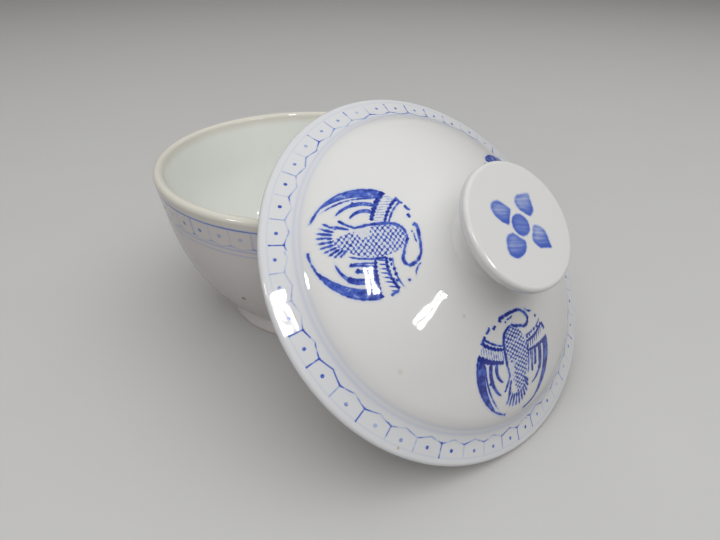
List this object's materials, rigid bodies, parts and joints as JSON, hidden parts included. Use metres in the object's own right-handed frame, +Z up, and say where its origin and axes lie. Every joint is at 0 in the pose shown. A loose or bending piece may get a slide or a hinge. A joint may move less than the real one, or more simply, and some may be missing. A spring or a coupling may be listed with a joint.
{
  "type": "lidded donburi bowl",
  "caption": "Deep round porcelain bowl on a foot ring, with a bell-brimmed lid that has a flat disc knob and leans against the bowl; holds a hot rice dish and keeps it warm.",
  "frame": {"origin": "centre of the bowl's foot ring, on the table", "axes": "+Z up along the bowl's axis; the lid stands on the table on the bowl's -Y side and leans back towards +Y"},
  "size_m": [0.16, 0.2201, 0.1148],
  "materials": {
    "decorated_glaze": "glossy clear glaze over cobalt blue painting on grey-white porcelain",
    "plain_glaze": "glossy clear glaze on grey-white porcelain, thinner and warmer at the edges"
  },
  "bodies": {
    "bowl": {"bowl_body": "decorated_glaze", "bowl_foot_ring": "plain_glaze"},
    "lid": {"lid_shell": "decorated_glaze", "lid_locating_ring": "plain_glaze", "lid_knob": "decorated_glaze"}
  },
  "joints": [
    {"name": "lid_lift", "type": "slide", "parent": "bowl", "child": "lid", "axis": [0, 0, 1], "range_m": [0, 0.12]}
  ]
}
